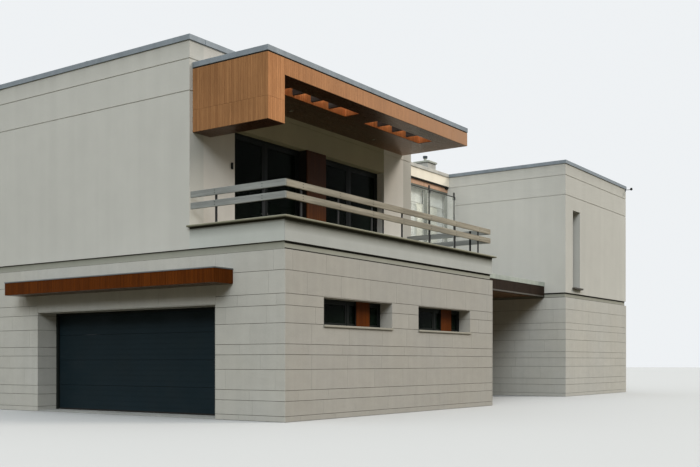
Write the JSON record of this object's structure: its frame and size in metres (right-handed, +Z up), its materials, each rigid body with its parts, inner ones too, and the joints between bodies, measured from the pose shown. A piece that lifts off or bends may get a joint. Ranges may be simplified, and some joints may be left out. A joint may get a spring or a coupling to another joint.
{
  "type": "detached house",
  "caption": "Two-storey flat-roofed house with a garage block, a roof terrace under a slotted wood canopy, a recessed glazed link and a rear wing.",
  "frame": {"origin": "middle of the footprint's bounding box, at ground level", "axes": "+X along the garage front towards the terrace side, +Y from the garage front back to the rear wing, +Z up"},
  "size_m": [11.835, 22.003, 8.77],
  "materials": {
    "stone_cladding": "honed limestone tiles with fine joints",
    "plaster": "fine floated mineral plaster",
    "concrete": "plain concrete",
    "roof_sheet": "matt roofing membrane",
    "coping_metal": "matt zinc-grey sheet",
    "coping_stone": "weathered grey stone slabs",
    "terrace_paving": "matt stone tiles",
    "rail_wood": "silver-grey weathered boards",
    "rail_metal": "matt black paint",
    "canopy_wood": "red-brown wood panels with an upright grain",
    "dark_wood": "dark stained wood",
    "door_metal": "matt anthracite paint",
    "frame_metal": "satin near-black paint",
    "window_glass": "clear double glazing, dark inside",
    "sill_metal": "matt grey sheet",
    "screen_metal": "satin dark steel",
    "screen_glass": "clear toughened glass"
  },
  "bodies": {
    "root": {"front_wall_left": "stone_cladding", "front_wall_right": "stone_cladding", "garage_lintel": "stone_cladding", "side_wall": "stone_cladding", "porch_side_wall": "stone_cladding", "entrance_wall": "stone_cladding", "wing_ground_front": "stone_cladding", "wing_ground_side": "stone_cladding", "rear_ground_wall": "stone_cladding", "end_ground_wall": "stone_cladding", "upper_front_wall": "plaster", "terrace_wall_piers": "plaster", "terrace_wall_lintel": "plaster", "upper_return_wall": "plaster", "link_wall": "plaster", "wing_upper_front": "plaster", "wing_upper_side": "plaster", "rear_upper_wall": "plaster", "end_upper_wall": "plaster", "terrace_parapet": "plaster", "chimney_stack": "plaster", "ground_slabs": "concrete", "floor_slabs": "concrete", "roof_slabs": "roof_sheet", "roof_coping": "coping_metal", "small_roofs": "coping_metal", "chimney_cap": "coping_metal", "terrace_coping": "coping_stone", "terrace_paving": "terrace_paving", "rail_boards": "rail_wood", "rail_posts": "rail_metal", "canopy_body": "canopy_wood", "canopy_leg": "canopy_wood", "garage_canopy": "canopy_wood", "wood_panels": "canopy_wood", "canopy_fins": "dark_wood", "entrance_canopy": "dark_wood", "entrance_door": "dark_wood", "garage_door": "door_metal", "window_frames": "frame_metal", "window_glass": "window_glass", "window_sills": "sill_metal", "screen_posts": "screen_metal", "screen_glass": "screen_glass"}
  },
  "joints": []
}
